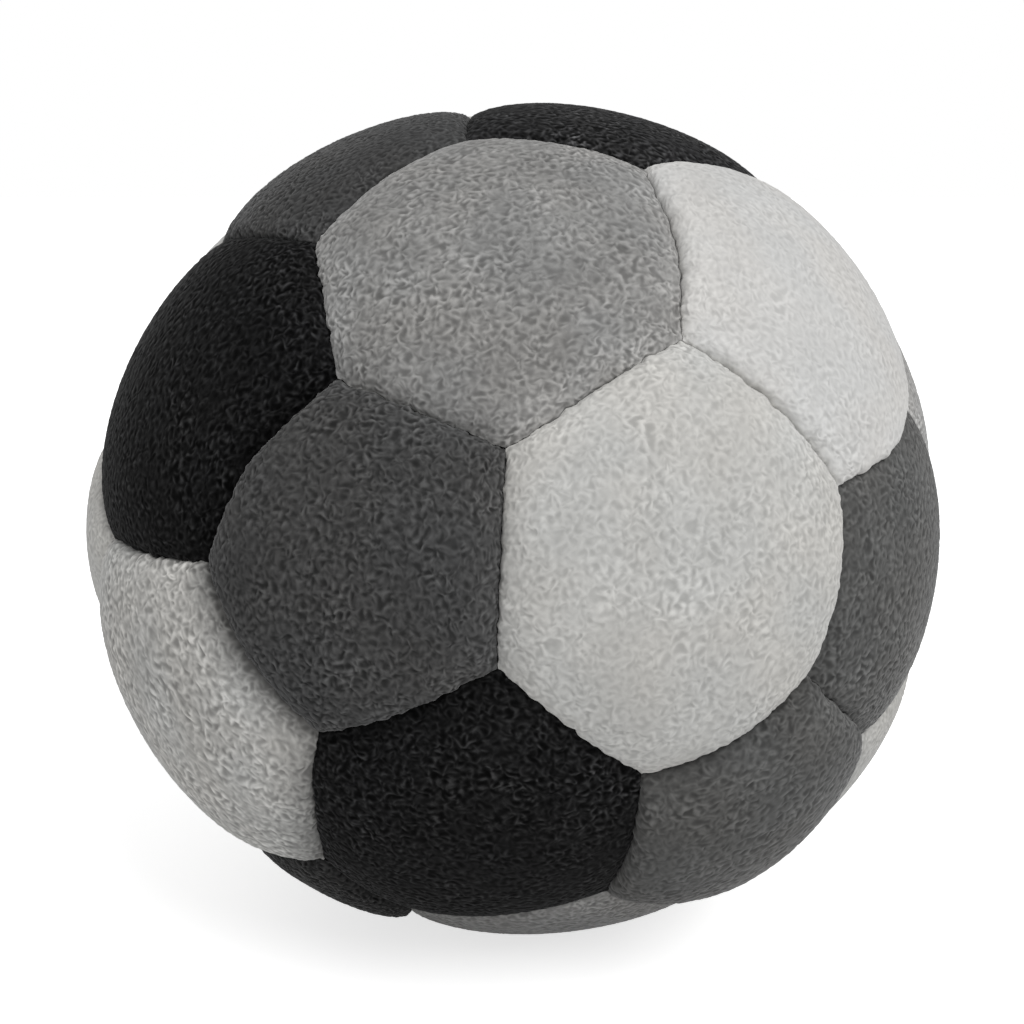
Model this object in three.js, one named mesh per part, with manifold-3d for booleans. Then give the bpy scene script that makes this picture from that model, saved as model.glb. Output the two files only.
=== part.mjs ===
// A footbag: a small soft ball for kicking, sewn from thirty-two puffy panels of napped cloth.
// Twelve panels have five sides and twenty have six. Their edges are turned in and sewn
// together, so each seam shows as a narrow crease between two rounded shoulders.
// The ball holds a loose filling, which settles a little and flattens where the ball stands.
// Millimetres, +Z up, with the origin in the middle of the flat under the ball.
import * as THREE from "three";
import { mergeVertices } from "three/addons/utils/BufferGeometryUtils.js";
import Module from "manifold-3d";

const wasm = await Module();
wasm.setup();

// The ball, and the block that cuts its flat as a share of the seam radius
const seam_radius = 25.4;
const pentagon_rise = 1.75;
const hexagon_rise = 1.2;
const settled_height_share = 0.98;
const base_cut_depth = 0.5;
const cutter_share = 4;

// The roundness of a panel: a high power keeps the crown even, a low one makes the edge steep
const crown_power = 3.25;
const shoulder_power = 0.25;

// The cloth and its turned-in edges
const cloth_thickness = 1.0;
const panel_gap = 0.3;
const allowance_depth = 2.4;
const allowance_thickness = 0.8;
const allowance_spread = 1.6;
const stitch_depth = 0.8;

// The thread that runs inside the seams, and the filling
const thread_width = 0.4;
const thread_depth = 1.9;
const inner_clearance = 0.3;

// Each corner's place on the way from one five-sided panel's middle to the next one's
const corner_share = 0.32;

// How the ball lies, as turns about the standing axes in degrees
const lie_x_degrees = 12.5;
const lie_y_degrees = -22;
const lie_z_degrees = -103.5;

// The faceting of a panel
const steps_per_side = 3;
const ring_shares = [0.6, 0.84, 0.95];

// Hand sewing leaves the five-sided panels a little out of place and uneven in size.
// Each row is a panel's shift along the ball's own three axes, then its extra size.
const uneven_shares = [
  [-0.03, -0.01, 0, 0.01],
  [0.02, 0.06, -0.04, 0.02],
  [-0.13, 0.04, 0.02, 0.06],
  [-0.02, -0.01, -0.02, -0.01],
  [0.02, 0.01, 0.02, 0.01],
  [0, -0.04, -0.08, -0.03],
  [-0.01, -0.02, -0.05, 0.02],
  [0.04, -0.02, -0.06, -0.05],
  [-0.02, 0.03, 0.01, -0.01],
  [0.02, -0.01, 0.03, 0.02],
  [-0.05, -0.02, -0.06, -0.06],
  [-0.03, -0.01, 0, 0.01],
];

// Corners that lie further out of place. Each row names the corner next to the first of two
// five-sided panels on the seam that runs towards the second, counted from nought, then the
// corner's shift along the ball's own three axes.
const corner_shift_shares = [
  [0, 1, 0.05, -0.01, -0.02],
  [0, 2, 0.02, -0.04, 0.01],
  [0, 5, 0.03, -0.02, -0.01],
  [1, 0, -0.01, 0.02, 0.01],
  [1, 2, 0.01, -0.02, 0],
  [1, 6, -0.01, 0.01, 0.02],
  [1, 10, 0, -0.01, -0.02],
  [2, 0, -0.03, 0.01, 0],
  [2, 1, -0.02, 0.02, -0.01],
  [2, 3, -0.04, -0.02, 0.01],
  [2, 6, 0.03, -0.01, -0.01],
  [2, 7, 0.03, 0, -0.04],
  [3, 2, -0.01, 0.01, -0.03],
  [5, 0, 0.02, -0.03, -0.04],
  [6, 2, 0.02, -0.02, 0.01],
  [6, 11, -0.02, -0.02, -0.03],
  [7, 2, 0.03, 0.01, 0.01],
  [7, 6, -0.02, 0, 0],
  [10, 1, 0.01, 0.02, 0.01],
  [10, 6, 0, -0.02, 0.01],
];

// How full each panel is, as a share of the rise of its kind
const pentagon_fullness_shares = [0.8, 0.85, 1.15, 1.05, 1.2, 1, 1.25, 0.85, 0.95, 0.8, 0.75, 1];
const hexagon_fullness_shares = [
  0.9, 1.15, 1.05, 0.6, 1.1, 1.55, 0.75, 1.1, 1, 1.6,
  0.85, 0.95, 1.15, 1.2, 0.7, 1.2, 1.15, 1.05, 0.85, 0.8,
];

// The cloths
const cloth_colours = {
  black: 0x1c1c1c,
  charcoal: 0x414141,
  dark_grey: 0x5e5e5d,
  mid_grey: 0x878684,
  light_grey: 0xb6b5b2,
  pale_grey: 0xcbcac7,
};
const pentagon_cloths = [
  "charcoal", "charcoal", "pale_grey", "mid_grey", "black", "light_grey",
  "dark_grey", "light_grey", "charcoal", "dark_grey", "charcoal", "light_grey",
];
const hexagon_cloths = [
  "mid_grey", "black", "light_grey", "light_grey", "black",
  "light_grey", "mid_grey", "mid_grey", "dark_grey", "light_grey",
  "dark_grey", "black", "pale_grey", "mid_grey", "black",
  "light_grey", "charcoal", "black", "dark_grey", "mid_grey",
];
const cloth_roughness = 0.95;

// The thread and the plastic pellets of the filling
const thread_colour = 0x2a2a2a;
const thread_roughness = 0.8;
const filling_colour = 0xd8d4c8;
const filling_roughness = 0.6;

const radians = THREE.MathUtils.degToRad;
const lie = new THREE.Matrix4().makeRotationFromEuler(
  new THREE.Euler(radians(lie_x_degrees), radians(lie_y_degrees), radians(lie_z_degrees)),
);

// The twelve middles of the five-sided panels: a pole, a ring of five, a lower ring, a pole
function even_middles() {
  const height = 1 / Math.sqrt(5);
  const reach = 2 / Math.sqrt(5);
  const fifth = (2 * Math.PI) / 5;
  const middles = [new THREE.Vector3(0, 0, 1)];
  for (let k = 0; k < 5; k += 1) {
    const angle = k * fifth;
    middles.push(new THREE.Vector3(reach * Math.cos(angle), reach * Math.sin(angle), height));
  }
  for (let k = 0; k < 5; k += 1) {
    const angle = (k + 1 / 2) * fifth;
    middles.push(new THREE.Vector3(reach * Math.cos(angle), reach * Math.sin(angle), -height));
  }
  middles.push(new THREE.Vector3(0, 0, -1));
  return middles;
}

// Puts the middles of a panel's neighbours in anticlockwise order, seen from outside
function in_turn(middle, others) {
  const first = others[0].direction.clone().projectOnPlane(middle).normalize();
  const second = middle.clone().cross(first);
  const angle = (item) => Math.atan2(item.direction.dot(second), item.direction.dot(first));
  return [...others].sort((a, b) => angle(a) - angle(b));
}

const even = even_middles();
const middles = even.map((direction, index) => {
  const [x, y, z] = uneven_shares[index];
  return direction.clone().add(new THREE.Vector3(x, y, z)).normalize().applyMatrix4(lie);
});
const neighbours = even.map((direction) => {
  const near = even
    .map((other, index) => ({ direction: other, index }))
    .filter((item) => item.direction.dot(direction) > 0 && item.direction !== direction);
  return in_turn(direction, near).map((item) => item.index);
});

// The corner next to pentagon i on the seam that runs from it towards pentagon j
function corner(i, j) {
  const share = corner_share + uneven_shares[i][3];
  const place = middles[i].clone().lerp(middles[j], share).normalize();
  const row = corner_shift_shares.find(([from, towards]) => from === i && towards === j);
  if (row) {
    place.add(new THREE.Vector3(...row.slice(2)).applyMatrix4(lie)).normalize();
  }
  return place;
}

// A panel knows its corners in anticlockwise order, its middle and, for each side, the unit
// vector that points into the panel, square to the plane through the side and the ball's centre
function make_panel(name, corners, rise, cloth) {
  const middle = new THREE.Vector3();
  corners.forEach((point) => middle.add(point));
  middle.normalize();
  const sides = corners.map((point, k) => {
    const next = corners[(k + 1) % corners.length];
    return point.clone().cross(next).normalize();
  });
  return { name, corners, middle, sides, rise, cloth };
}

function number_of(index) {
  return String(index + 1).padStart(2, "0");
}

const pentagons = neighbours.map((around, i) =>
  make_panel(
    `pentagon_panel_${number_of(i)}`,
    around.map((j) => corner(i, j)),
    pentagon_rise * pentagon_fullness_shares[i],
    pentagon_cloths[i],
  ),
);

// Each six-sided panel lies between three five-sided ones: round the upper pole, in the belt
// and round the lower pole
const upper = (k) => 1 + (k % 5);
const lower = (k) => 6 + (k % 5);
const triangles = [];
for (let k = 0; k < 5; k += 1) {
  triangles.push([0, upper(k), upper(k + 1)]);
}
for (let k = 0; k < 5; k += 1) {
  triangles.push([lower(k), upper(k + 1), upper(k)]);
}
for (let k = 0; k < 5; k += 1) {
  triangles.push([upper(k + 1), lower(k), lower(k + 1)]);
}
for (let k = 0; k < 5; k += 1) {
  triangles.push([11, lower(k + 1), lower(k)]);
}
const hexagons = triangles.map(([a, b, c], h) =>
  make_panel(
    `hexagon_panel_${number_of(h)}`,
    [corner(a, b), corner(b, a), corner(b, c), corner(c, b), corner(c, a), corner(a, c)],
    hexagon_rise * hexagon_fullness_shares[h],
    hexagon_cloths[h],
  ),
);
const panels = [...pentagons, ...hexagons];

// The radius of a panel's outer face: the seam radius at the seams, and the full rise above
// it over most of the panel
function face_radius(panel, direction) {
  let crown = 1;
  for (const side of panel.sides) {
    const reach = panel.middle.dot(direction) * panel.middle.dot(side);
    const inward_share = THREE.MathUtils.clamp(side.dot(direction) / reach, 0, 1);
    crown *= 1 - (1 - inward_share) ** crown_power;
  }
  return seam_radius + panel.rise * crown ** shoulder_power;
}

// The points round a panel's seam: each has its direction from the ball's centre, and the
// vector that moves it away from the seam's plane by one unit, or from both planes at a corner
function rim_points(panel, steps) {
  const count = panel.corners.length;
  const rim = [];
  for (let k = 0; k < count; k += 1) {
    const here = panel.corners[k];
    const next = panel.corners[(k + 1) % count];
    const side = panel.sides[k];
    const before = panel.sides[(k + count - 1) % count];
    const both = side.clone().add(before).divideScalar(1 + side.dot(before));
    rim.push({ direction: here, inward: both });
    for (let step = 1; step < steps; step += 1) {
      rim.push({ direction: here.clone().lerp(next, step / steps).normalize(), inward: side });
    }
  }
  return rim;
}

// The directions of a ring that lies at a share of the way from a panel's middle to its rim
function ring_directions(panel, rim, share) {
  return rim.map(({ direction }) => {
    const flat = direction.clone().divideScalar(direction.dot(panel.middle));
    return panel.middle.clone().lerp(flat, share).normalize();
  });
}

// A ring at one radius or, where no radius is given, on the outer face, moved in from the seam
function inset_ring(panel, rim, inset, radius) {
  return rim.map(({ direction, inward }) => {
    const step_in = inward.clone().multiplyScalar(inset);
    const place = direction.clone().multiplyScalar(seam_radius).add(step_in).normalize();
    const length = radius ?? face_radius(panel, place);
    return direction.clone().multiplyScalar(length).add(step_in);
  });
}

function lowered(points, depth) {
  return points.map((point) => point.clone().setLength(point.length() - depth));
}

// Triangles from ring to ring, where rings have equal counts, closed by a pole where one is given
function skin(first_pole, rings, last_pole) {
  const faces = [];
  const count = rings[0].length;
  for (let k = 0; k < count; k += 1) {
    const next = (k + 1) % count;
    if (first_pole) {
      faces.push(first_pole, rings[0][k], rings[0][next]);
    }
    for (let r = 1; r < rings.length; r += 1) {
      const here = rings[r - 1];
      const beyond = rings[r];
      faces.push(here[k], beyond[k], beyond[next]);
      faces.push(here[k], beyond[next], here[next]);
    }
    if (last_pole) {
      faces.push(last_pole, rings.at(-1)[next], rings.at(-1)[k]);
    }
  }
  return faces;
}

// Turns triangles about the ball's centre into a geometry of the settled ball
function settled_geometry(faces) {
  const geometry = new THREE.BufferGeometry().setFromPoints(faces);
  geometry.scale(1, 1, settled_height_share);
  return mergeVertices(geometry);
}

// A panel: its outer face, the turned-in allowances, which part below the stitches, and the
// inner face
function panel_geometry(panel) {
  const rim = rim_points(panel, steps_per_side);
  const face = ring_shares.map((share) =>
    ring_directions(panel, rim, share).map((direction) =>
      direction.clone().multiplyScalar(face_radius(panel, direction)),
    ),
  );
  const tip_radius = seam_radius - allowance_depth;
  const outer_tip = allowance_spread / 2;
  const inner_tip = outer_tip + allowance_thickness;
  const root = inset_ring(panel, rim, panel_gap / 2 + allowance_thickness);
  const rings = [
    ...face,
    inset_ring(panel, rim, panel_gap / 2),
    inset_ring(panel, rim, panel_gap / 2, seam_radius - stitch_depth),
    inset_ring(panel, rim, outer_tip, tip_radius),
    inset_ring(panel, rim, inner_tip, tip_radius),
    lowered(root, cloth_thickness),
  ];
  const crown = panel.middle.clone().multiplyScalar(face_radius(panel, panel.middle));
  const hollow = crown.clone().setLength(crown.length() - cloth_thickness);
  return settled_geometry(skin(crown, rings, hollow));
}

// The filling: one closed form that fills every panel and leaves grooves for the allowances
function filling_geometry() {
  const shoulder_radius = seam_radius - cloth_thickness;
  const floor_radius = seam_radius - allowance_depth - inner_clearance;
  const groove = allowance_spread / 2 + allowance_thickness + inner_clearance;
  const faces = panels.flatMap((panel) => {
    const rim = rim_points(panel, 1);
    const top = face_radius(panel, panel.middle) - cloth_thickness - inner_clearance;
    const rings = [
      inset_ring(panel, rim, groove, shoulder_radius),
      inset_ring(panel, rim, groove, floor_radius),
      inset_ring(panel, rim, 0, floor_radius),
    ];
    return skin(panel.middle.clone().multiplyScalar(top), rings, null);
  });
  return settled_geometry(faces);
}

// Closed geometries joined or cut
function to_solid(geometry) {
  const bare = geometry.clone();
  bare.deleteAttribute("normal");
  bare.deleteAttribute("uv");
  const merged = mergeVertices(bare);
  return new wasm.Manifold(
    new wasm.Mesh({
      numProp: 3,
      vertProperties: new Float32Array(merged.attributes.position.array),
      triVerts: new Uint32Array(merged.index.array),
    }),
  );
}

function to_geometry(solid) {
  const mesh = solid.getMesh();
  const geometry = new THREE.BufferGeometry();
  geometry.setAttribute("position", new THREE.BufferAttribute(mesh.vertProperties, 3));
  geometry.setIndex(new THREE.BufferAttribute(mesh.triVerts, 1));
  return geometry;
}

// The thread: one length, drawn as a net of straight runs from corner to corner
function thread_geometry() {
  const outer_radius = seam_radius - thread_depth + thread_width / 2;
  const inner_radius = outer_radius - thread_width;
  const faces = panels.flatMap((panel) => {
    const rim = rim_points(panel, 1);
    const rings = [
      inset_ring(panel, rim, 0, inner_radius),
      inset_ring(panel, rim, thread_width / 2, inner_radius),
      inset_ring(panel, rim, thread_width / 2, outer_radius),
      inset_ring(panel, rim, 0, outer_radius),
    ];
    return skin(null, rings, null);
  });
  return settled_geometry(faces);
}

function dull_material(name, color, roughness) {
  return new THREE.MeshStandardMaterial({ name, color, roughness, metalness: 0 });
}

function cloth_material(cloth) {
  return dull_material(cloth, cloth_colours[cloth], cloth_roughness);
}

// Cuts what is below the flat that the ball stands on
function cut_flat(geometry, flat_height) {
  geometry.computeBoundingBox();
  if (geometry.boundingBox.min.z >= flat_height) {
    return geometry;
  }
  const size = cutter_share * seam_radius;
  const below = new THREE.BoxGeometry(size, size, size);
  below.translate(0, 0, flat_height - size / 2);
  return to_geometry(to_solid(geometry).subtract(to_solid(below)));
}

const whole_panels = panels.map((panel) => ({ panel, geometry: panel_geometry(panel) }));
const extent = new THREE.Box3();
for (const { geometry } of whole_panels) {
  geometry.computeBoundingBox();
  extent.union(geometry.boundingBox);
}
const flat_height = extent.min.z + base_cut_depth;
const ball_middle = extent.getCenter(new THREE.Vector3());

const footbag = new THREE.Group();
const ball = new THREE.Group();
ball.position.set(-ball_middle.x, -ball_middle.y, -flat_height);
footbag.add(ball);

function add_piece(name, geometry, material) {
  const mesh = new THREE.Mesh(geometry, material);
  mesh.name = name;
  ball.add(mesh);
}

for (const { panel, geometry } of whole_panels) {
  add_piece(panel.name, cut_flat(geometry, flat_height), cloth_material(panel.cloth));
}
const thread_material = dull_material("thread", thread_colour, thread_roughness);
add_piece("seam_thread", thread_geometry(), thread_material);
const filling_material = dull_material("pellets", filling_colour, filling_roughness);
add_piece("filling", filling_geometry(), filling_material);

export default footbag;
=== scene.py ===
"""The looks of a footbag: thirty-two puffy panels of curly napped cloth, sewn into a ball.

The panels follow the solids' net. Their puffed surface is close to the solids', with slightly
rounder shoulders, and the seams that the photograph shows bow as they do there. The cloth's curls
are modelled in each panel's mesh. Lengths are in metres.
"""
import math

import bmesh
import bpy
import numpy as np
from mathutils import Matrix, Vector


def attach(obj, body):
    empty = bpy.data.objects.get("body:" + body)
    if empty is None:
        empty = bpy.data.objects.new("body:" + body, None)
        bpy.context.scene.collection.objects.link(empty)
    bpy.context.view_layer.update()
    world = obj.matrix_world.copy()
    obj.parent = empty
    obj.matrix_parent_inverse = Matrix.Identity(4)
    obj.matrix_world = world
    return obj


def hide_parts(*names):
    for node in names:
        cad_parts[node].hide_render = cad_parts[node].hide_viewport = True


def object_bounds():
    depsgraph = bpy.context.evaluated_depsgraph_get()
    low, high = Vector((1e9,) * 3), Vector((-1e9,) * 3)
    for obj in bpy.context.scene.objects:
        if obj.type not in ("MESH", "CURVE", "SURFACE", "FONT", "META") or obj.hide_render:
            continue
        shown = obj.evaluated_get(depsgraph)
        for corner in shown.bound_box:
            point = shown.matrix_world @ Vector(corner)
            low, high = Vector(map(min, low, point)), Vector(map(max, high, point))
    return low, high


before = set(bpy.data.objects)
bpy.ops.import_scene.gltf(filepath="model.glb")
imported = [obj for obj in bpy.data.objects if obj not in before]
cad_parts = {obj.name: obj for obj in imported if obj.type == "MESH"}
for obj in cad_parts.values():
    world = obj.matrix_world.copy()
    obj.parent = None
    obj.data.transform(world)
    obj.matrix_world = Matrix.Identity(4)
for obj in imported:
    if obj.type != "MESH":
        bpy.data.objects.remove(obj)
cad_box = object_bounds()

# The ball
seam_radius = 0.0254
pentagon_rise = 0.00175
hexagon_rise = 0.0012
settled_height_share = 0.98
crown_power = 3.25
shoulder_power = 0.29
seam_press = 0.00025
press_power = 6
corner_share = 0.32
lie_degrees = (12.5, -22, -103.5)

# Each row is a five-sided panel's shift along the ball's own axes, then its extra size. This table
# and those of the corners' shifts and of the fullness were fitted to the photograph by a program,
# then rounded, and a few of the fullness values were changed
uneven_shares = [
    (-0.03, -0.01, 0, 0.01),
    (0.02, 0.06, -0.04, 0.02),
    (-0.13, 0.04, 0.02, 0.06),
    (-0.02, -0.01, -0.02, -0.01),
    (0.02, 0.01, 0.02, 0.01),
    (0, -0.04, -0.08, -0.03),
    (-0.01, -0.02, -0.05, 0.02),
    (0.04, -0.02, -0.06, -0.05),
    (-0.02, 0.03, 0.01, -0.01),
    (0.02, -0.01, 0.03, 0.02),
    (-0.05, -0.02, -0.06, -0.06),
    (-0.03, -0.01, 0, 0.01),
]

# The shifts of the corners that lie further out of place, by the five-sided panel next to the
# corner and the one that its seam runs towards
corner_shift_shares = {
    (0, 1): (0.05, -0.01, -0.02),
    (0, 2): (0.02, -0.04, 0.01),
    (0, 5): (0.03, -0.02, -0.01),
    (1, 0): (-0.01, 0.02, 0.01),
    (1, 2): (0.01, -0.02, 0),
    (1, 6): (-0.01, 0.01, 0.02),
    (1, 10): (0, -0.01, -0.02),
    (2, 0): (-0.03, 0.01, 0),
    (2, 1): (-0.02, 0.02, -0.01),
    (2, 3): (-0.04, -0.02, 0.01),
    (2, 6): (0.03, -0.01, -0.01),
    (2, 7): (0.03, 0, -0.04),
    (3, 2): (-0.01, 0.01, -0.03),
    (5, 0): (0.02, -0.03, -0.04),
    (6, 2): (0.02, -0.02, 0.01),
    (6, 11): (-0.02, -0.02, -0.03),
    (7, 2): (0.03, 0.01, 0.01),
    (7, 6): (-0.02, 0, 0),
    (10, 1): (0.01, 0.02, 0.01),
    (10, 6): (0, -0.02, 0.01),
}

pentagon_fullness_shares = (0.8, 0.85, 1.15, 1.05, 1.2, 1, 1.25, 0.85, 0.95, 0.8, 0.75, 1)
hexagon_fullness_shares = (
    0.9, 1.15, 1.05, 0.6, 1.1, 1.55, 0.75, 1.1, 1, 1.6,
    0.85, 0.95, 1.15, 1.2, 0.7, 1.2, 1.15, 1.05, 0.85, 0.8,
)

# The panels: the cloth, and its turned-in edges, which part below the stitches
edge_inset = 0.000008
stitch_inset = 0.00015
stitch_depth = 0.0008
allowance_depth = 0.0024
allowance_thickness = 0.0008
allowance_spread = 0.0016
cloth_thickness = 0.001
fine_rows = 140
panel_rows = fine_rows
reach_rows = 24
edge_crowding = 1.25
key_digits = 6

# The rings of points behind a panel's rim: down to the stitches, on to the tip of the turned-in
# edge, across the tip, up to its root, and towards the middle of the back
edge_steps, fold_steps, tip_steps, root_steps, back_steps = 6, 3, 2, 3, 3

# The least values that a length is divided by
least_sine = 1e-9
least_slope = 1e-12

# The thread inside the seams, and the pellets of the filling
thread_depth = 0.0019
thread_radius = 0.0002
thread_steps, thread_around = 60, 8
thread_twist = 34
ply_least, ply_swell = 0.7, 0.3
inner_clearance = 0.0003
pellet_radius = 0.0011
pellet_least_share = 0.8
pellet_seat_share = 1.05
pellet_disorder = 0.35
core_sink_share = 0.5
filling_seed = 21

# The cloth's nap: curls of yarn, 12 to a square millimetre, among loops. A row of the loops gives
# their length, its spread and their part of the nap, and a row of the tufts gives their length,
# its spread and how much stronger they make the nap
tile_size = 0.026
tile_pixels = 650
curls_per_area = 12e6
curl_width = 0.00021
curl_least, curl_most = 0.0006, 0.0014
curl_width_shares = (0.8, 1.2)
curl_tip_share = 0.65
curl_bend = 3500
curl_bend_least_share = 0.2
curl_steps = 20
curl_sway = 0.8
curl_surrounds = 0.0003
curl_softness = 0.00004
loop_bands = ((0.0005, 0.35, 0.55), (0.0003, 0.3, 0.2))
tuft_bands = ((0.0013, 0.5, 0.15), (0.003, 0.5, 0.15))
nap_limit = 2.2
nap_evening = 0.02
nap_deviations = 6
nap_height = 0.00017
nap_level = 0.55
nap_fade = 0.0006
nap_seed = 11
panel_seed = 100
height_levels = 1024

# How much of the way down its edge the nap goes along with the cloth
down_share = 0.85

# The patches of stronger and weaker nap: their length, how strong they are and where they start
patch_bands = ((0.0022, 0.25, 7.7), (0.006, 0.35, 3.1))
patch_limits = (0.4, 1.5)

# How wide the rim along each seam is that is lightened as a painted highlight, and how fast it
# and the painted shade beside a higher panel fade
rim_highlight_width = 0.0025
rim_light_and_shade_power = 1.5

# The panels that lie lower than a neighbour along their seam, and how much: the lower one's
# shoulder is flatter and its colour is darkened there as painted shade, and the other's shoulder is
# fuller
lower_sides = {
    ("hexagon_panel_10", "pentagon_panel_02"): 1,
    ("hexagon_panel_10", "hexagon_panel_15"): 0.7,
    ("hexagon_panel_01", "pentagon_panel_02"): 0.5,
    ("hexagon_panel_05", "pentagon_panel_02"): 0.8,
    ("hexagon_panel_15", "pentagon_panel_02"): 0.7,
    ("hexagon_panel_06", "pentagon_panel_02"): 0.2,
    ("pentagon_panel_07", "hexagon_panel_06"): 0.35,
    ("hexagon_panel_11", "hexagon_panel_06"): 0.35,
    ("pentagon_panel_01", "hexagon_panel_01"): 0.2,
}
lower_flatness = 0.5
higher_fullness = 0.25
lower_shade = 0.8
lower_width = 0.0025

# How hard the first panel pushes its seam with the second one out, in millimetres, near the
# seam's start, middle and end, and over what share of the seam radius a push is felt. A program
# worked the pushes out from the seams measured in the photograph
seam_pushes = {
    ("pentagon_panel_02", "hexagon_panel_10"): (0.01, 0.46, -0.11),
    ("pentagon_panel_02", "hexagon_panel_05"): (-0.06, 0.58, 0.13),
    ("pentagon_panel_02", "hexagon_panel_15"): (0.02, 0.25, -0.06),
    ("pentagon_panel_02", "hexagon_panel_01"): (0, 0.03, -0.18),
    ("pentagon_panel_02", "hexagon_panel_06"): (-0.22, -0.17, -0.16),
    ("hexagon_panel_06", "hexagon_panel_01"): (0.31, 0.2, 0.22),
    ("hexagon_panel_06", "pentagon_panel_03"): (0.11, 0.45, 0.19),
    ("hexagon_panel_06", "hexagon_panel_11"): (-0.03, 0.28, 0.11),
    ("hexagon_panel_06", "pentagon_panel_07"): (0.18, 0.61, 0.26),
    ("hexagon_panel_06", "hexagon_panel_15"): (0.09, 0.28, -0.09),
    ("hexagon_panel_01", "pentagon_panel_01"): (0.38, 0.52, 0.41),
    ("hexagon_panel_01", "hexagon_panel_02"): (0.3, 0.48, 0.36),
    ("hexagon_panel_01", "pentagon_panel_03"): (0.07, 0.43, -0.03),
    ("hexagon_panel_01", "hexagon_panel_05"): (-0.08, -0.09, -0.05),
    ("pentagon_panel_03", "hexagon_panel_11"): (0.08, 0.78, -0.19),
    ("hexagon_panel_11", "pentagon_panel_07"): (0.42, -0.23, -0.61),
    ("pentagon_panel_07", "hexagon_panel_15"): (0.11, -0.24, 0.05),
    ("hexagon_panel_10", "hexagon_panel_15"): (0.48, 0.28, -0.04),
    ("hexagon_panel_10", "hexagon_panel_05"): (-0.23, 0.02, 0.42),
    ("pentagon_panel_03", "hexagon_panel_02"): (0.01, 0.29, 0.35),
    ("hexagon_panel_05", "pentagon_panel_01"): (-0.04, 0.11, 0.43),
}
push_places = (0.1, 0.5, 0.9)
push_reach = 0.1
millimetres_per_metre = 1000

# How far the sewing and the nap move the seams from their true lines, and over what length
seam_strays = ((0.00014, 0.006), (0.00013, 0.0006))
stray_apart = 31.7

# The soft noise
noise_seed = 5
noise_size = 4096
noise_gain = 1.6

# The cloths: the colour, how coarse and how high the nap is, how much lighter its crests are than
# its pits (lighter fibre tips, and painted shade in the pits), how strong the blotches are, how
# much lighter its rim along the seams is painted as a highlight, and how much light its fuzz
# catches
cloths = {
    "black": {
        "colour": (0.0082, 0.0082, 0.0084), "grain": 1.1, "relief": 0.5, "contrast": 0.7,
        "blotch": 0.15, "edge": 1.08, "fuzz": 0.1,
    },
    "charcoal": {
        "colour": (0.057, 0.057, 0.057), "grain": 1, "relief": 0.7, "contrast": 0.31,
        "blotch": 0.1, "edge": 1.3, "fuzz": 0.3,
    },
    "dark_grey": {
        "colour": (0.098, 0.098, 0.096), "grain": 1.25, "relief": 0.5, "contrast": 0.24,
        "blotch": 0.1, "edge": 1.1, "fuzz": 0.36,
    },
    "mid_grey": {
        "colour": (0.245, 0.243, 0.238), "grain": 1.1, "relief": 0.45, "contrast": 0.22,
        "blotch": 0.11, "edge": 1.3, "fuzz": 0.4,
    },
    "light_grey": {
        "colour": (0.505, 0.502, 0.485), "grain": 1.05, "relief": 0.36, "contrast": 0.1,
        "blotch": 0.05, "edge": 1.12, "fuzz": 0.34,
    },
    "pale_grey": {
        "colour": (0.57, 0.567, 0.556), "grain": 1.1, "relief": 0.33, "contrast": 0.07,
        "blotch": 0.03, "edge": 1.2, "fuzz": 0.3,
    },
}

# The panels whose cloth has values of its own
own_cloths = {
    "hexagon_panel_10": {
        "colour": (0.49, 0.486, 0.47), "grain": 1.35, "relief": 0.6, "contrast": 0.22,
        "blotch": 0.07, "edge": 1.05,
    },
}

# How much lighter or darker some panels are than their cloth: partly a tone of the panel's own,
# partly painted light; hexagon 02, the black panel on top, is lightened as painted light, and
# pentagon 11, low down, is darkened as painted shade
panel_tones_and_painted_light = {
    "hexagon_panel_02": 2.5,
    "hexagon_panel_05": 1.04,
    "hexagon_panel_07": 1.28,
    "hexagon_panel_15": 1.33,
    "hexagon_panel_16": 0.83,
    "hexagon_panel_20": 0.82,
    "pentagon_panel_01": 0.92,
    "pentagon_panel_06": 1.05,
    "pentagon_panel_11": 0.42,
}
pentagon_cloths = (
    "charcoal", "charcoal", "pale_grey", "mid_grey", "black", "light_grey",
    "dark_grey", "light_grey", "charcoal", "dark_grey", "charcoal", "light_grey",
)
hexagon_cloths = (
    "mid_grey", "black", "light_grey", "light_grey", "black",
    "light_grey", "mid_grey", "mid_grey", "dark_grey", "light_grey",
    "dark_grey", "black", "pale_grey", "mid_grey", "black",
    "light_grey", "charcoal", "black", "dark_grey", "mid_grey",
)

# The cloth's material. A texture's row is its scale, its detail and its roughness
cloth_roughness = 0.95
cloth_gloss = 0.05
fuzz_roughness = 0.3
nap_exponent = 3
blotch_texture = (330, 2, 0.5)
fibre_texture = (6500, 2, 0.7)
fibre_share = 0.15
tint_texture = (190, 1, 0.5)
bump_texture = (14000, 3, 0.7)
texture_span = (0.3, 0.7)
tint_span = (0.35, 0.65)
warm_shares = (1.01, 1, 0.99)
cool_shares = (0.995, 1, 1.005)
cloth_bump = 0.2
cloth_bump_depth = 0.00004

# The thread and the pellets
thread_looks = {"colour": (0.03, 0.03, 0.03), "roughness": 0.8, "grain": 9000, "depth": 0.00003}
pellet_looks = {"colour": (0.66, 0.63, 0.56), "roughness": 0.5, "grain": 900, "depth": 0.00005}
inner_detail = 3
inner_dark_share = 0.75
inner_bump = 0.4

# The camera, fitted to the picture: the ball's middle and the focal length in pixels of 1024, and
# the seam radius as a share of the camera's distance
picture_size = 1024
middle_pixel = (519.3, 520.4)
focal_pixels = 1706
distance_share = 0.2311
camera_elevation_degrees = 12
sensor_width_mm = 36
camera_clip_start = 0.005

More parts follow.
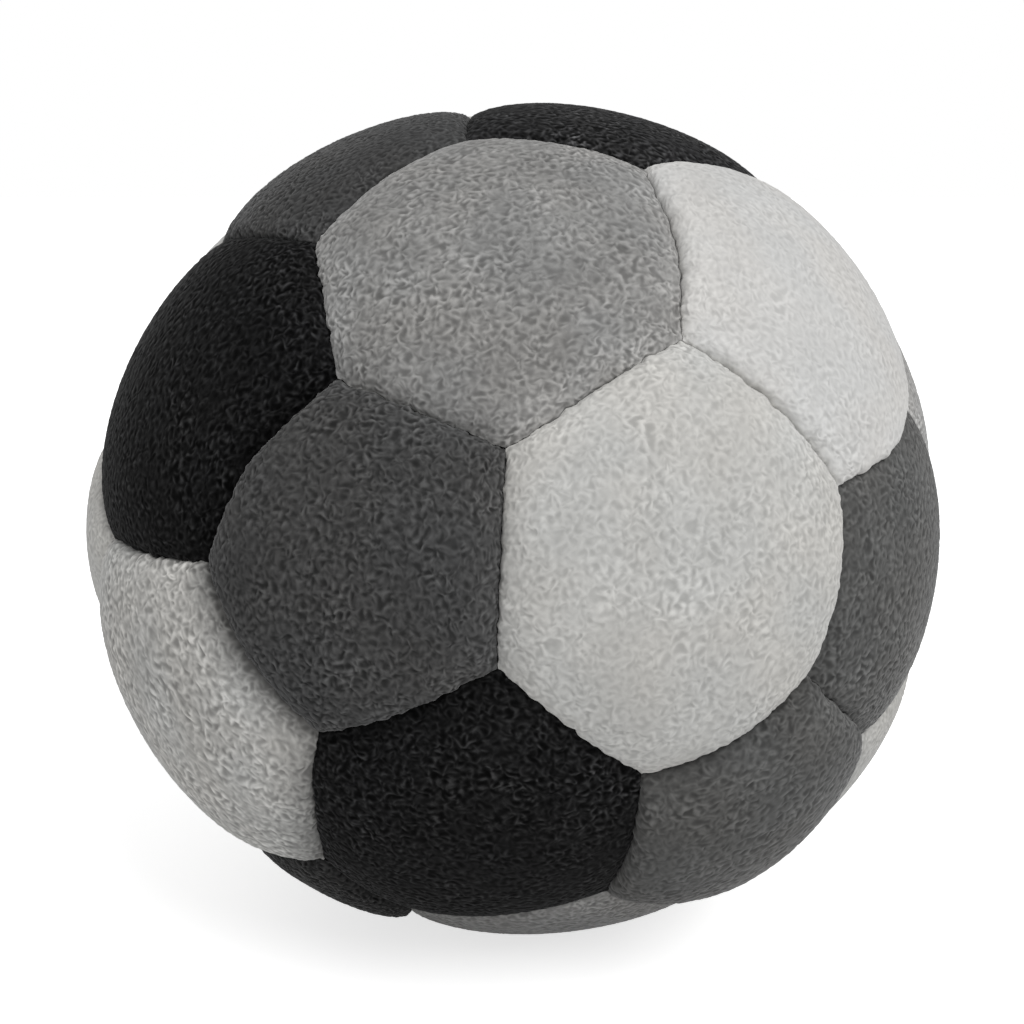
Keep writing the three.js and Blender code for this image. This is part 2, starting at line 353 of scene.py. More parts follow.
# The light: a soft key from above, and the white surroundings
key_from = (0.5, -0.6, 0.85)
key_light = 1.75
key_width_degrees = 40
world_light = 0.48
floor_glow = 0.7
floor_reach = 2.0
floor_colour = (0.8, 0.8, 0.8, 1)
white = (1, 1, 1, 1)


def unit(vectors):
    return vectors / np.linalg.norm(vectors, axis=-1, keepdims=True)


def turn(axis, degrees):
    """The matrix of a turn about the axis 0, 1 or 2."""
    cosine = math.cos(math.radians(degrees))
    sine = math.sin(math.radians(degrees))
    first, second = (axis + 1) % 3, (axis + 2) % 3
    matrix = np.eye(3)
    matrix[first, first] = matrix[second, second] = cosine
    matrix[first, second] = -sine
    matrix[second, first] = sine
    return matrix


def even_middles():
    """The middles of twelve even five-sided panels: a pole, five, five more, and a pole."""
    height = 1 / math.sqrt(5)
    rows = [(0, 0, 1)]
    for start, side in ((0, 1), (0.5, -1)):
        for k in range(5):
            angle = (k + start) * 2 * math.pi / 5
            rows.append((2 * height * math.cos(angle), 2 * height * math.sin(angle), side * height))
    rows.append((0, 0, -1))
    return np.array(rows)


even = even_middles()
uneven = np.array(uneven_shares)
lie = turn(0, lie_degrees[0]) @ turn(1, lie_degrees[1]) @ turn(2, lie_degrees[2])
middles = unit(even + uneven[:, :3]) @ lie.T


def neighbours(i):
    """The five-sided panels round panel i, anticlockwise from outside."""
    near = [j for j in range(12) if j != i and even[j] @ even[i] > 0]
    first = unit(even[near[0]] - (even[near[0]] @ even[i]) * even[i])
    second = np.cross(even[i], first)
    return sorted(near, key=lambda j: math.atan2(even[j] @ second, even[j] @ first))


def corner(i, j):
    """The corner next to pentagon i on the seam that runs from it towards pentagon j."""
    share = corner_share + uneven[i, 3]
    place = unit(middles[i] * (1 - share) + middles[j] * share)
    return unit(place + lie @ np.array(corner_shift_shares.get((i, j), (0, 0, 0))))


def panel(name, corners, rise, cloth):
    corners = np.array(corners)
    sides = unit(np.cross(corners, np.roll(corners, -1, axis=0)))
    middle = unit(corners.sum(axis=0))
    return {
        "name": name, "corners": corners, "sides": sides, "middle": middle,
        "rise": rise, "cloth": cloth,
    }


def seams(item):
    """A key for each of a panel's seams, which the panel beyond it shares."""
    after = np.roll(item["corners"], -1, axis=0)
    return [tuple(pair) for pair in np.round(item["corners"] + after, key_digits)]


def all_panels():
    found = []
    beyond = {}
    for i in range(12):
        corners = [corner(i, j) for j in neighbours(i)]
        rise = pentagon_rise * pentagon_fullness_shares[i]
        found.append(panel(f"pentagon_panel_{i + 1:02d}", corners, rise, pentagon_cloths[i]))
    upper = [1 + k % 5 for k in range(6)]
    lower = [6 + k % 5 for k in range(6)]
    threes = [(0, upper[k], upper[k + 1]) for k in range(5)]
    threes += [(lower[k], upper[k + 1], upper[k]) for k in range(5)]
    threes += [(upper[k + 1], lower[k], lower[k + 1]) for k in range(5)]
    threes += [(11, lower[k + 1], lower[k]) for k in range(5)]
    for h, (a, b, c) in enumerate(threes):
        ends = ((a, b), (b, a), (b, c), (c, b), (c, a), (a, c))
        corners = [corner(i, j) for i, j in ends]
        rise = hexagon_rise * hexagon_fullness_shares[h]
        found.append(panel(f"hexagon_panel_{h + 1:02d}", corners, rise, hexagon_cloths[h]))
    for item in found:
        for seam in seams(item):
            beyond.setdefault(seam, []).append(item["name"])
    for item in found:
        name = item["name"]
        others = [next(other for other in beyond[seam] if other != name) for seam in seams(item)]
        item["lower"] = [lower_sides.get((name, other), 0) for other in others]
        item["higher"] = [lower_sides.get((other, name), 0) for other in others]
    return found


def face_radius(item, directions):
    """The radius of a panel's smooth outer face in these directions."""
    crown = np.ones(len(directions))
    forward = directions @ item["middle"]
    for side, lower, higher in zip(item["sides"], item["lower"], item["higher"]):
        share = np.clip(directions @ side / (forward * (item["middle"] @ side)), 0, 1)
        bend = 1 + lower_flatness * lower - higher_fullness * higher
        crown *= (1 - (1 - share) ** crown_power) ** bend
    # The cloth presses against the next panel's, from this height above the seam down
    swell = item["rise"] * crown**shoulder_power
    return seam_radius + (swell**press_power + seam_press**press_power) ** (1 / press_power)


panels = all_panels()


def push_sources():
    """Where the seams are pushed, and how far, as directions and parts of the seam radius."""
    places, pushes = [], []
    by_name = {item["name"]: item for item in panels}
    for (name, beyond), amounts in seam_pushes.items():
        item = by_name[name]
        shared = set(seams(by_name[beyond]))
        k = next(k for k, seam in enumerate(seams(item)) if seam in shared)
        start, end = item["corners"][k], np.roll(item["corners"], -1, axis=0)[k]
        for share, amount in zip(push_places, amounts):
            places.append(unit(start * (1 - share) + end * share))
            pushes.append(item["sides"][k] * (-amount / millimetres_per_metre / seam_radius))
    return np.array(places).reshape(-1, 3), np.array(pushes).reshape(-1, 3)


push_spots, push_vectors = push_sources()


def pushed(directions):
    """How far the pushed seams carry the cloth along, as parts of the seam radius."""
    return np.exp((directions @ push_spots.T - 1) / push_reach**2) @ push_vectors


# Soft noise

noise_draws = np.random.default_rng(noise_seed)
noise_order = noise_draws.permutation(noise_size)
noise_slopes = unit(noise_draws.normal(size=(noise_size, 3)))


def noise(places):
    """Soft noise of about -1 to 1 with a grain of one unit."""
    cell = np.floor(places).astype(np.int64)
    within = places - cell
    ease = within**3 * (within * (6 * within - 15) + 10)
    total = np.zeros(len(places))
    for step in np.ndindex(2, 2, 2):
        x, y, z = (cell + step).T % noise_size
        key = noise_order[(noise_order[(noise_order[x] + y) % noise_size] + z) % noise_size]
        weight = np.where(step, ease, 1 - ease).prod(axis=1)
        total += weight * ((within - step) * noise_slopes[key]).sum(axis=1)
    return noise_gain * total


def strayed(points):
    """Moves points sideways a little, alike on every panel, so that the seams aren't quite true."""
    lengths = np.linalg.norm(points, axis=1)[:, None]
    directions = points / lengths
    moved = directions + pushed(directions)
    for far, over in seam_strays:
        places = directions * (seam_radius / over)
        stray = np.stack([noise(places + stray_apart * k) for k in range(3)], axis=1)
        moved = moved + stray * (far / seam_radius)
    return unit(moved) * lengths


# The cloth's nap


def curl_heights():
    """A square of curls that lie over each other, as heights from 0 to 1. Its sides match."""
    draws = np.random.default_rng(nap_seed)
    pixel = tile_size / tile_pixels
    count = int(curls_per_area * tile_size**2)
    length = draws.uniform(curl_least, curl_most, count)
    bend = draws.uniform(curl_bend_least_share, 1, count) * draws.choice([-1, 1], count) * curl_bend
    half_width = curl_width / 2 * draws.uniform(*curl_width_shares, count)
    order = draws.permutation(count) + 1
    along = np.linspace(0, 1, curl_steps)[:, None]
    sway = draws.uniform(-curl_sway, curl_sway, count)
    sway = sway * np.sin(2 * math.pi * along + draws.uniform(0, 2 * math.pi, count))
    heading = draws.uniform(0, 2 * math.pi, count) + bend * length * along + sway
    step = length / (curl_steps - 1)
    x = draws.uniform(0, tile_size, count) + np.cumsum(np.cos(heading) * step, axis=0)
    y = draws.uniform(0, tile_size, count) + np.cumsum(np.sin(heading) * step, axis=0)
    column = np.floor(x / pixel).astype(int)
    row = np.floor(y / pixel).astype(int)
    taper = curl_tip_share + (1 - curl_tip_share) * np.sin(math.pi * along)
    top_level = height_levels - 1
    tile = np.zeros(tile_pixels**2, dtype=np.int64)
    reach = math.ceil(curl_width_shares[1] / 2 * curl_width / pixel)
    for down in range(-reach, reach + 1):
        for over in range(-reach, reach + 1):
            away = np.hypot((column + over + 0.5) * pixel - x, (row + down + 0.5) * pixel - y)
            top = taper * np.sqrt(np.clip(1 - (away / (half_width * taper)) ** 2, 0, None))
            key = np.where(top > 0, order * height_levels + (top * top_level).astype(int), 0)
            where = (row + down) % tile_pixels * tile_pixels + (column + over) % tile_pixels
            np.maximum.at(tile, where.ravel(), key.ravel())
    return (tile % height_levels / top_level).reshape(tile_pixels, tile_pixels)


def waves():
    """How many waves go in a metre, for each entry of the square's spectrum."""
    across = np.fft.fftfreq(tile_pixels, tile_size / tile_pixels)
    return np.hypot(*np.meshgrid(across, across))


def filtered(square, strength):
    return np.fft.ifft2(np.fft.fft2(square) * strength).real


def nap_tile():
    """A square of nap that repeats: 0 in its pits, 1 on its crests, and a half on average."""
    each = waves()
    blur = np.exp(-2 * (math.pi * each * curl_surrounds) ** 2)
    draws = np.random.default_rng(nap_seed + 1)

    def evened(square):
        square = square - filtered(square, blur)
        square = square / (np.sqrt(filtered(square**2, blur)) + nap_evening)
        return square / square.std()

    def band(wave, spread):
        square = draws.normal(size=(tile_pixels, tile_pixels))
        square = filtered(square, np.exp(-(((each * wave - 1) / spread) ** 2)))
        return square / square.std()

    curls = filtered(curl_heights(), np.exp(-2 * (math.pi * each * curl_softness) ** 2))
    nap = evened(curls)
    for wave, spread, part in loop_bands:
        nap = nap + part * band(wave, spread)
    for wave, spread, strength in tuft_bands:
        nap = nap * np.exp(strength * band(wave, spread))
    nap = nap_limit * np.tanh((nap - nap.mean()) / nap.std() / nap_limit)
    return 0.5 + nap / nap.std() / nap_deviations


def sampled(tile, places):
    """The tile's heights at places in metres, blended between its pixels."""
    at = places * (tile_pixels / tile_size)
    low = np.floor(at).astype(int)
    x, y = (at - low).T
    column, row = low.T % tile_pixels
    next_column = (column + 1) % tile_pixels
    next_row = (row + 1) % tile_pixels
    near = tile[row, column] * (1 - x) + tile[row, next_column] * x
    far = tile[next_row, column] * (1 - x) + tile[next_row, next_column] * x
    return near * (1 - y) + far * y


# A panel's mesh


def grid_faces(sides, rows):
    """Triangles of a fan of sectors, with a middle point and ring r of sides * r points."""
    start = [0] + [1 + sides * r * (r - 1) // 2 for r in range(1, rows + 1)]
    faces = []
    for r in range(1, rows + 1):
        sector = np.repeat(np.arange(sides), r)
        place = np.tile(np.arange(r), sides)
        outer = start[r] + (sector * r + place) % (sides * r)
        outer_next = start[r] + (sector * r + place + 1) % (sides * r)
        inner_count = sides * (r - 1)
        inner = (sector * (r - 1) + place) % max(inner_count, 1) + start[r - 1]
        faces.append(np.stack([outer, outer_next, inner], axis=1))
        if r > 1:
            keep = place < r - 1
            inner_next = (sector * (r - 1) + place + 1) % inner_count + start[r - 1]
            faces.append(np.stack([inner, outer_next, inner_next], axis=1)[keep])
    return np.concatenate(faces)


def band_faces(first, second, count):
    """Triangles between two rings of equal counts that start at these points."""
    k = np.arange(count)
    after = (k + 1) % count
    upper = np.stack([first + k, second + k, second + after], axis=1)
    lower = np.stack([first + k, second + after, first + after], axis=1)
    return np.concatenate([upper, lower])


def inset_corners(item, inset):
    """The panel's corners, moved in from both seams."""
    before = np.roll(item["sides"], 1, axis=0)
    both = (item["sides"] + before) / (1 + (item["sides"] * before).sum(axis=1))[:, None]
    return unit(item["corners"] * seam_radius + both * inset)


def ring_directions(item, rows, inset, share=1):
    """A ring round the panel's middle, at a share of the way to its seams moved in."""
    corners = inset_corners(item, inset)
    flat = corners / (corners @ item["middle"])[:, None]
    after = np.roll(flat, -1, axis=0)
    along = (np.arange(rows) / rows)[None, :, None]
    side = (flat[:, None] * (1 - along) + after[:, None] * along).reshape(-1, 3)
    return unit(item["middle"] * (1 - share) + side * share)


def grid_directions(item, rows):
    """A fan of rings, which lie closer to each other towards the seams."""
    found = [item["middle"][None]]
    for r in range(1, rows + 1):
        share = 1 - (1 - r / rows) ** edge_crowding
        found.append(ring_directions(item, r, edge_inset, share))
    return np.concatenate(found)


def vertex_normals(points, faces):
    a, b, c = (points[faces[:, k]] for k in range(3))
    square = np.cross(b - a, c - a)
    normals = np.zeros_like(points)
    for axis in range(3):
        for k in range(3):
            normals[:, axis] += np.bincount(faces[:, k], square[:, axis], len(points))
    return unit(normals)


def add_mesh(name, points, faces):
    mesh = bpy.data.meshes.new(name)
    mesh.vertices.add(len(points))
    mesh.vertices.foreach_set("co", points.astype(np.float32).ravel())
    mesh.loops.add(faces.size)
    mesh.loops.foreach_set("vertex_index", faces.astype(np.int32).ravel())
    mesh.polygons.add(len(faces))
    mesh.polygons.foreach_set("loop_start", np.arange(0, faces.size, 3, dtype=np.int32))
    mesh.polygons.foreach_set("use_smooth", np.ones(len(faces), dtype=bool))
    mesh.update()
    mesh.validate()
    piece = bpy.data.objects.new(name, mesh)
    bpy.context.collection.objects.link(piece)
    return piece


def between(first, second, steps):
    """Rings that lead from one ring to another, without the first."""
    return [first + (second - first) * (k / steps) for k in range(1, steps + 1)]


def cloth_rings(item, rows, rim):
    """The rings behind a panel's rim: its turned-in edge and its back."""
    deep = seam_radius - allowance_depth
    root = ring_directions(item, rows, stitch_inset + allowance_thickness)
    outer_tip = allowance_spread / 2
    stitches = ring_directions(item, rows, stitch_inset) * (seam_radius - stitch_depth)
    tip = ring_directions(item, rows, outer_tip) * deep
    inner_tip = ring_directions(item, rows, outer_tip + allowance_thickness) * deep
    root = root * (face_radius(item, root) - cloth_thickness)[:, None]
    crown = item["middle"][None]
    hollow = crown * (face_radius(item, crown) - cloth_thickness)
    rings = between(rim, stitches, edge_steps) + between(stitches, tip, fold_steps)
    rings += between(tip, inner_tip, tip_steps) + between(inner_tip, root, root_steps)
    return rings + between(root, hollow, back_steps)[:-1], hollow


def facts_of(item):
    """The values of a panel's cloth."""
    return {**cloths[item["cloth"]], **own_cloths.get(item["name"], {})}


def nap_spots(item, points, draws):
    """Where points lie on the flat nap. The curls follow the cloth, also down its edge."""
    first = unit(np.cross(item["middle"], draws.normal(size=3)))
    second = np.cross(item["middle"], first)
    length = np.linalg.norm(points, axis=1)
    heading = points / length[:, None]
    across = np.stack([heading @ first, heading @ second], axis=1)
    sine = np.linalg.norm(across, axis=1)
    arc = np.arcsin(np.clip(sine, 0, 1)) * seam_radius
    crown_radius = seam_radius + item["rise"]
    arc = arc + down_share * np.clip(crown_radius - length, 0, None)
    spots = across / np.maximum(sine, least_sine)[:, None] * arc[:, None]
    return spots + draws.uniform(0, tile_size, 2)


def panel_mesh(item, index, tile, faces_of):
    """Points, faces and marks for the material of one panel."""
    sides = len(item["corners"])
    count = sides * panel_rows
    directions = grid_directions(item, panel_rows)
    face = directions * face_radius(item, directions)[:, None]
    rings, hollow = cloth_rings(item, panel_rows, face[-count:])
    points = np.concatenate([face, *rings, hollow])
    last_ring = len(face) - count
    starts = [last_ring + count * k for k in range(len(rings) + 1)]
    faces = [faces_of[sides]]
    faces += [band_faces(a, b, count) for a, b in zip(starts, starts[1:])]
    k = np.arange(count)
    pole = np.full(count, len(points) - 1)
    faces.append(np.stack([starts[-1] + (k + 1) % count, starts[-1] + k, pole], axis=1))
    faces = np.concatenate(faces)
    facts = facts_of(item)
    draws = np.random.default_rng(panel_seed + index)
    curls = sampled(tile, nap_spots(item, points, draws) / facts["grain"])
    patches = 1
    for patch, strength, start in patch_bands:
        patches = patches + strength * noise(points / patch + start)
    patches = np.clip(patches, *patch_limits)
    relief = facts["relief"] * patches
    length = np.linalg.norm(points, axis=1)
    outer = np.clip((length - seam_radius + stitch_depth) / nap_fade, 0, 1)
    outer[len(face) + edge_steps * count :] = 0
    normals = vertex_normals(points, faces)
    height = (curls - nap_level) * relief * outer * nap_height
    points = points + normals * height[:, None]
    # The nap presses against the next panel's, and doesn't pass it
    for side in item["sides"]:
        lack = np.clip(edge_inset - points @ side, 0, None)
        points = points + lack[:, None] * side
    from_seams = points @ item["sides"].T
    marks = {"nap": 0.5 + (curls - 0.5) * patches}
    # The rim along the seams, lightened in the material as a painted highlight
    marks["edge"] = np.clip(1 - from_seams.min(axis=1) / rim_highlight_width, 0, 1) ** rim_light_and_shade_power
    # Beside a higher panel, the colour is darkened in the material as painted shade
    shades = np.clip(1 - from_seams / lower_width, 0, 1) ** rim_light_and_shade_power * item["lower"]
    marks["shade"] = shades.max(axis=1)
    return strayed(points), faces, marks


def tube_faces(count, around):
    """Faces of a tube of rings, with its two ends closed."""
    starts = around * np.arange(count)
    faces = [band_faces(b, a, around) for a, b in zip(starts, starts[1:])]
    k = np.arange(around)
    after = (k + 1) % around
    near = np.full(around, count * around)
    faces.append(np.stack([near, after, k], axis=1))
    faces.append(np.stack([near + 1, starts[-1] + k, starts[-1] + after], axis=1))
    return np.concatenate(faces)


def thread_mesh(items):
    """Two-ply thread inside every seam, between the turned-in edges."""
    points, faces = [], []
    base = tube_faces(thread_steps, thread_around)
    angle = np.arange(thread_around) * 2 * math.pi / thread_around
    share = np.linspace(0, 1, thread_steps)[:, None]
    turned = angle[None] - share * thread_twist
    thick = thread_radius * (ply_least + ply_swell * np.abs(np.cos(turned)))
    done = set()
    for item in items:
        after = np.roll(item["corners"], -1, axis=0)
        for here, there, side, seam in zip(item["corners"], after, item["sides"], seams(item)):
            if seam in done:
                continue
            done.add(seam)
            line = unit(here * (1 - share) + there * share)
            middle = line * (seam_radius - thread_depth)
            over = np.cos(angle)[None, :, None] * side
            up = np.sin(angle)[None, :, None] * line[:, None]
            ring = middle[:, None] + thick[:, :, None] * (over + up)
            faces.append(base + sum(len(p) for p in points))
            points.append(np.concatenate([ring.reshape(-1, 3), middle[:1], middle[-1:]]))
    return strayed(np.concatenate(points)), np.concatenate(faces)


def spread_directions(count, draws):
    """Directions spread evenly over a ball, with a little disorder."""
    k = np.arange(count) + 0.5
    height = 1 - 2 * k / count
    angle = k * math.pi * (1 + math.sqrt(5))
    wide = np.sqrt(1 - height**2)
    even_ones = np.stack([wide * np.cos(angle), wide * np.sin(angle), height], axis=1)
    return unit(even_ones + draws.normal(size=(count, 3)) * pellet_disorder / math.sqrt(count))


def dome_radius(item, directions):
    """How far the filling reaches under a panel, as a dome that keeps clear of the seams."""
    edge = inset_corners(item, allowance_spread / 2 + allowance_thickness + inner_clearance)
    edge = edge * (seam_radius - cloth_thickness)
    top = item["middle"] * (seam_radius + item["rise"] - cloth_thickness - inner_clearance)
    slopes = np.cross(edge - top, np.roll(edge, -1, axis=0) - top)
    return np.min((slopes @ top) / np.maximum(directions @ slopes.T, least_slope), axis=1)


def filling_mesh(items):
    """Pellets: a layer under each panel and a deeper one all round, over a plain core ball."""
    draws = np.random.default_rng(filling_seed)
    # A five-sided panel gives its first side twice, so that every panel has six
    sides = np.zeros((len(items), 6, 3))
    for index, item in enumerate(items):
        count = len(item["sides"])
        sides[index, :count] = item["sides"]
        sides[index, count:] = item["sides"][0]
    deep = seam_radius - allowance_depth - inner_clearance - pellet_radius
    keep = allowance_spread / 2 + allowance_thickness + inner_clearance + pellet_radius
    seat = pellet_seat_share * pellet_radius
    area = 2 * math.sqrt(3) * pellet_radius**2
    heaps = spread_directions(int(4 * math.pi * (deep + 2 * pellet_radius) ** 2 / area), draws)
    inside = np.einsum("ijc,nc->nij", sides, heaps).min(axis=2)
    own = inside.argmax(axis=1)
    centres = []
    for index, item in enumerate(items):
        mine = heaps[(own == index) & (inside.max(axis=1) * seam_radius > keep)]
        centres.append(mine * (dome_radius(item, mine) - seat)[:, None])
    centres.append(spread_directions(int(4 * math.pi * deep**2 / area), draws) * deep)
    centres = np.concatenate(centres)
    depths = np.linalg.norm(centres, axis=1)[:, None]
    centres = centres + pushed(centres / depths) * depths
    sphere = bmesh.new()
    bmesh.ops.create_icosphere(sphere, subdivisions=2, radius=1)
    ball = np.array([tuple(v.co) for v in sphere.verts])
    ball_faces = np.array([[v.index for v in f.verts] for f in sphere.faces])
    sphere.free()
    shapes = draws.uniform(pellet_least_share, 1, (len(centres), 1, 3)) * ball * pellet_radius
    core = ball * (deep - core_sink_share * pellet_radius)
    points = [(centres[:, None] + shapes).reshape(-1, 3), core]
    steps = np.arange(len(centres) + 1)[:, None, None] * len(ball)
    return np.concatenate(points), (ball_faces + steps).reshape(-1, 3)


def settled(points, centre):
    """Places a ball's points in the frame, with the flat under it."""
    moved = points * (1, 1, settled_height_share) + centre
    moved[:, 2] = np.maximum(moved[:, 2], 0)
    return moved


def smooth_reach(items):
    """The lowest and highest corners of the smooth ball about its own middle."""
    grids = [grid_directions(item, reach_rows) for item in items]
    every = [grid * face_radius(item, grid)[:, None] for item, grid in zip(items, grids)]
    points = np.concatenate(every) * (1, 1, settled_height_share)
    return points.min(axis=0), points.max(axis=0)


# Materials


def nodes_of(material):
    material.use_nodes = True
    tree = material.node_tree
    tree.nodes.clear()
    return tree.nodes, tree.links


def cloth_material(name, facts, tone_and_light_share=1):
    material = bpy.data.materials.new(name)
    nodes, links = nodes_of(material)
    output = nodes.new("ShaderNodeOutputMaterial")
    shader = nodes.new("ShaderNodeBsdfPrincipled")
    links.new(shader.outputs["BSDF"], output.inputs["Surface"])
    place = nodes.new("ShaderNodeTexCoord")
    shader.inputs["Roughness"].default_value = cloth_roughness
    shader.inputs["Specular IOR Level"].default_value = cloth_gloss
    shader.inputs["Sheen Weight"].default_value = facts["fuzz"]
    shader.inputs["Sheen Roughness"].default_value = fuzz_roughness

    def texture(scale, detail, roughness):
        item = nodes.new("ShaderNodeTexNoise")
        item.inputs["Scale"].default_value = scale
        item.inputs["Detail"].default_value = detail
        item.inputs["Roughness"].default_value = roughness
        links.new(place.outputs["Object"], item.inputs["Vector"])
        return item.outputs["Fac"]

    def ranged(value, low, high, new_low, new_high):
        item = nodes.new("ShaderNodeMapRange")
        item.inputs["From Min"].default_value = low
        item.inputs["From Max"].default_value = high
        item.inputs["To Min"].default_value = new_low
        item.inputs["To Max"].default_value = new_high
        links.new(value, item.inputs["Value"])
        return item.outputs["Result"]

    def times(first, second):
        item = nodes.new("ShaderNodeMath")
        item.operation = "MULTIPLY"
        links.new(first, item.inputs[0])
        links.new(second, item.inputs[1])
        return item.outputs["Value"]

    def mark(name):
        item = nodes.new("ShaderNodeAttribute")
        item.attribute_name = name
        return item.outputs["Fac"]

    blotch, contrast = facts["blotch"], facts["contrast"]
    # Crests lighter and pits darker: partly lighter fibre tips, partly painted shade in the pits
    by_nap = nodes.new("ShaderNodeMath")
    by_nap.operation = "POWER"
    by_nap.inputs[0].default_value = math.exp(contrast)
    links.new(ranged(mark("nap"), 0, 1, -nap_exponent, nap_exponent), by_nap.inputs[1])
    by_nap = by_nap.outputs["Value"]
    by_blotch = ranged(texture(*blotch_texture), *texture_span, 1 - blotch, 1 + blotch)
    fibre = fibre_share * contrast
    by_fibre = ranged(texture(*fibre_texture), *texture_span, 1 - fibre, 1 + fibre)
    # A painted highlight along the seams, then painted shade beside a higher panel
    by_rim_light_and_shade = ranged(mark("edge"), 0, 1, 1, facts["edge"])
    by_rim_light_and_shade = times(by_rim_light_and_shade, ranged(mark("shade"), 0, 1, 1, 1 - lower_shade))
    strength = times(times(by_nap, by_blotch), times(by_fibre, by_rim_light_and_shade))
    tint = nodes.new("ShaderNodeMix")
    tint.data_type = "RGBA"
    for socket, shares in (("A", warm_shares), ("B", cool_shares)):
        dyed = (tone_and_light_share * part * share for part, share in zip(facts["colour"], shares))
        tint.inputs[socket].default_value = (*dyed, 1)
    links.new(ranged(texture(*tint_texture), *tint_span, 0, 1), tint.inputs["Factor"])
    scale = nodes.new("ShaderNodeVectorMath")
    scale.operation = "SCALE"
    links.new(tint.outputs["Result"], scale.inputs[0])
    links.new(strength, scale.inputs["Scale"])
    links.new(scale.outputs["Vector"], shader.inputs["Base Color"])
    bump = nodes.new("ShaderNodeBump")
    bump.inputs["Strength"].default_value = cloth_bump
    bump.inputs["Distance"].default_value = cloth_bump_depth
    links.new(texture(*bump_texture), bump.inputs["Height"])
    links.new(bump.outputs["Normal"], shader.inputs["Normal"])
    return material


def inner_material(name, colour, roughness, grain, depth):
    """Thread or pellets: a colour that varies a little, and a fine grain."""
    material = bpy.data.materials.new(name)
    nodes, links = nodes_of(material)
    output = nodes.new("ShaderNodeOutputMaterial")
    shader = nodes.new("ShaderNodeBsdfPrincipled")
    place = nodes.new("ShaderNodeTexCoord")
    noises = nodes.new("ShaderNodeTexNoise")
    ramp = nodes.new("ShaderNodeValToRGB")
    bump = nodes.new("ShaderNodeBump")
    noises.inputs["Scale"].default_value = grain
    noises.inputs["Detail"].default_value = inner_detail
    shader.inputs["Roughness"].default_value = roughness
    ramp.color_ramp.elements[0].position = texture_span[0]
    ramp.color_ramp.elements[1].position = texture_span[1]
    ramp.color_ramp.elements[0].color = (*(inner_dark_share * part for part in colour), 1)
    ramp.color_ramp.elements[1].color = (*colour, 1)
    bump.inputs["Strength"].default_value = inner_bump
    bump.inputs["Distance"].default_value = depth
    links.new(place.outputs["Object"], noises.inputs["Vector"])
    links.new(noises.outputs["Fac"], ramp.inputs["Fac"])
    links.new(ramp.outputs["Color"], shader.inputs["Base Color"])
    links.new(noises.outputs["Fac"], bump.inputs["Height"])
    links.new(bump.outputs["Normal"], shader.inputs["Normal"])
    links.new(shader.outputs["BSDF"], output.inputs["Surface"])
    return material


# The ball

low, high = smooth_reach(panels)
cad_low, cad_high = (np.array(side) for side in cad_box)
centre = (cad_low + cad_high) / 2 - (low + high) / 2
centre[2] = cad_high[2] - high[2]
tile = nap_tile()
faces_of = {sides: grid_faces(sides, panel_rows) for sides in (5, 6)}
materials = {name: cloth_material(f"{name}_cloth", facts) for name, facts in cloths.items()}

for index, item in enumerate(panels):
    points, faces, marks = panel_mesh(item, index, tile, faces_of)
    piece = add_mesh(f"{item['name']}_cloth", settled(points, centre), faces)
    for name, values in marks.items():
        attribute = piece.data.attributes.new(name, "FLOAT", "POINT")
        attribute.data.foreach_set("value", values.astype(np.float32))
    material = materials[item["cloth"]]
    # Panels with a tone of their own or painted light get a material of their own
    if item["name"] in panel_tones_and_painted_light or item["name"] in own_cloths:
        tone_and_light_share = panel_tones_and_painted_light.get(item["name"], 1)
        material = cloth_material(f"{item['name']}_cloth", facts_of(item), tone_and_light_share)
    piece.data.materials.append(material)
    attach(piece, "root")
    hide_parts(item["name"])

points, faces = thread_mesh(panels)
thread = add_mesh("seam_thread_twist", settled(points, centre), faces)
thread.data.materials.append(inner_material("sewing_thread", **thread_looks))
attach(thread, "root")
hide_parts("seam_thread")

points, faces = filling_mesh(panels)
pellets = add_mesh("filling_pellets", settled(points, centre), faces)
pellets.data.materials.append(inner_material("plastic_pellets", **pellet_looks))
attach(pellets, "root")
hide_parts("filling")


# Floor, light and camera


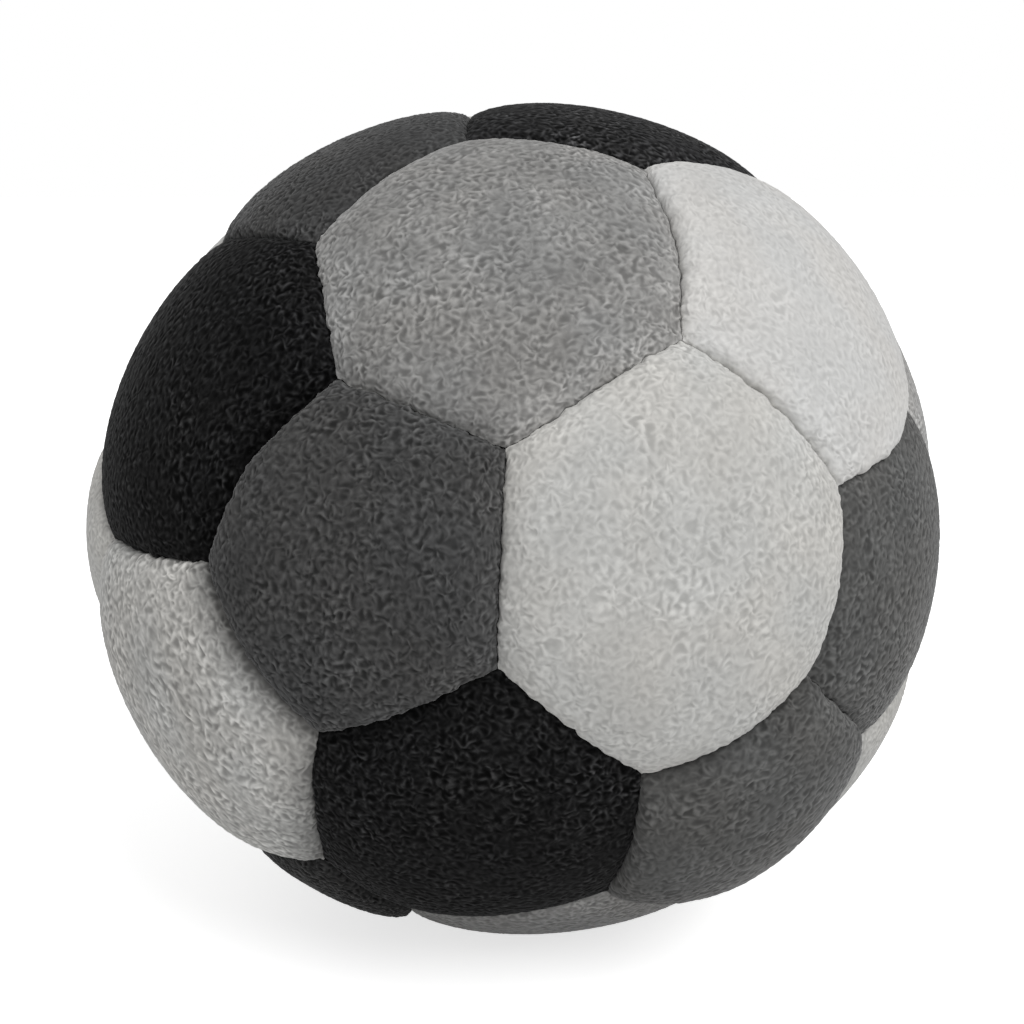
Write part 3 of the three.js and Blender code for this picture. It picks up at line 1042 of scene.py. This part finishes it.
def add_floor():
    """A pale floor that the camera sees white, apart from the ball's own shadow."""
    corners = np.array([(-1, -1, 0), (1, -1, 0), (1, 1, 0), (-1, 1, 0)]) * floor_reach
    floor = add_mesh("floor", corners, np.array([(0, 1, 2), (0, 2, 3)]))
    material = bpy.data.materials.new("floor_white")
    nodes, links = nodes_of(material)
    output = nodes.new("ShaderNodeOutputMaterial")
    dull = nodes.new("ShaderNodeBsdfDiffuse")
    glow = nodes.new("ShaderNodeEmission")
    both = nodes.new("ShaderNodeAddShader")
    mix = nodes.new("ShaderNodeMixShader")
    path = nodes.new("ShaderNodeLightPath")
    dull.inputs["Color"].default_value = floor_colour
    glow.inputs["Strength"].default_value = floor_glow
    links.new(dull.outputs["BSDF"], both.inputs[0])
    links.new(glow.outputs["Emission"], both.inputs[1])
    links.new(path.outputs["Is Camera Ray"], mix.inputs["Fac"])
    links.new(dull.outputs["BSDF"], mix.inputs[1])
    links.new(both.outputs["Shader"], mix.inputs[2])
    links.new(mix.outputs["Shader"], output.inputs["Surface"])
    floor.data.materials.append(material)


def add_world():
    world = bpy.data.worlds.new("studio")
    bpy.context.scene.world = world
    world.use_nodes = True
    nodes = world.node_tree.nodes
    links = world.node_tree.links
    nodes.clear()
    output = nodes.new("ShaderNodeOutputWorld")
    light = nodes.new("ShaderNodeBackground")
    seen = nodes.new("ShaderNodeBackground")
    mix = nodes.new("ShaderNodeMixShader")
    path = nodes.new("ShaderNodeLightPath")
    light.inputs["Color"].default_value = white
    light.inputs["Strength"].default_value = world_light
    seen.inputs["Color"].default_value = white
    links.new(path.outputs["Is Camera Ray"], mix.inputs["Fac"])
    links.new(light.outputs["Background"], mix.inputs[1])
    links.new(seen.outputs["Background"], mix.inputs[2])
    links.new(mix.outputs["Shader"], output.inputs["Surface"])


def add_key():
    """One wide, soft light from above the camera's right."""
    data = bpy.data.lights.new("key", "SUN")
    data.energy = key_light
    data.angle = math.radians(key_width_degrees)
    lamp = bpy.data.objects.new("key", data)
    bpy.context.collection.objects.link(lamp)
    lamp.location = key_from
    lamp.rotation_euler = (-Vector(key_from)).to_track_quat("-Z", "Y").to_euler()


def add_camera():
    data = bpy.data.cameras.new("camera")
    data.sensor_width = sensor_width_mm
    data.lens = sensor_width_mm * focal_pixels / picture_size
    data.shift_x = -(middle_pixel[0] - picture_size / 2) / picture_size
    data.shift_y = (middle_pixel[1] - picture_size / 2) / picture_size
    data.clip_start = camera_clip_start
    camera = bpy.data.objects.new("camera", data)
    bpy.context.collection.objects.link(camera)
    elevation = math.radians(camera_elevation_degrees)
    distance = seam_radius / distance_share
    back = Vector((0, -math.cos(elevation), math.sin(elevation)))
    camera.location = Vector(centre) + back * distance
    camera.rotation_euler = (-back).to_track_quat("-Z", "Y").to_euler()
    bpy.context.scene.camera = camera


add_floor()
add_world()
add_key()
add_camera()
bpy.context.scene.view_settings.view_transform = "Standard"
